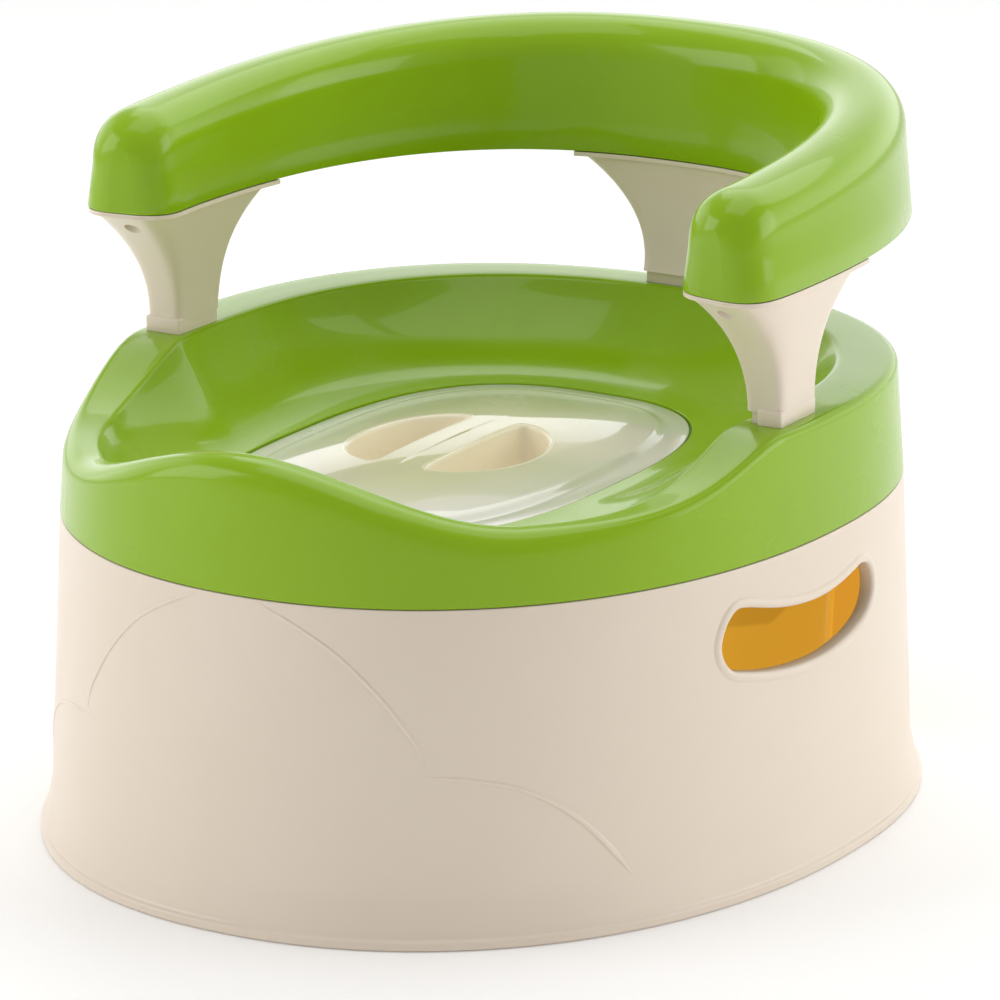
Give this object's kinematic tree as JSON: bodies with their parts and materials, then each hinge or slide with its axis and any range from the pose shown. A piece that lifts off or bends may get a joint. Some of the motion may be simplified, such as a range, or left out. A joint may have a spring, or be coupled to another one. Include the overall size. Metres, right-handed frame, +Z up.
{
  "type": "potty training chair",
  "caption": "Toddler's potty chair: oval tub with carrying slots, moulded seat with splash guard, rear pot drawer, lift-off lid and a hoop backrest with arms.",
  "frame": {"origin": "on the floor, at the centre of the chair's overall footprint", "axes": "+Z up, +Y towards the backrest, +X towards the seated child's left, which is the right side seen from the front"},
  "size_m": [0.34, 0.4052, 0.2949],
  "materials": {
    "green_plastic": "high gloss moulded polypropylene",
    "cream_plastic": "moulded polypropylene, soft satin gloss",
    "yellow_plastic": "glossy moulded polypropylene",
    "white_plastic": "glossy, slightly milky moulded polypropylene",
    "zinc_steel": "bright zinc plating",
    "rubber": "matt grey rubber"
  },
  "bodies": {
    "chair": {"tub": "cream_plastic", "seat": "green_plastic", "backrest_hoop": "green_plastic", "post_left": "cream_plastic", "post_right": "cream_plastic", "post_back": "cream_plastic", "hoop_screw_left_a": "zinc_steel", "hoop_screw_left_b": "zinc_steel", "hoop_screw_right_a": "zinc_steel", "hoop_screw_right_b": "zinc_steel", "hoop_screw_back_a": "zinc_steel", "hoop_screw_back_b": "zinc_steel", "rubber_pad_front_left": "rubber", "rubber_pad_front_right": "rubber", "rubber_pad_rear_left": "rubber", "rubber_pad_rear_right": "rubber"},
    "drawer": {"pot_drawer": "yellow_plastic"},
    "lid": {"pot_lid": "white_plastic"}
  },
  "joints": [
    {"name": "drawer_slide", "type": "slide", "parent": "chair", "child": "drawer", "axis": [0, 1, 0], "range_m": [0, 0.34]},
    {"name": "lid_lift", "type": "slide", "parent": "chair", "child": "lid", "axis": [0, 0, 1], "range_m": [0, 0.15]}
  ]
}
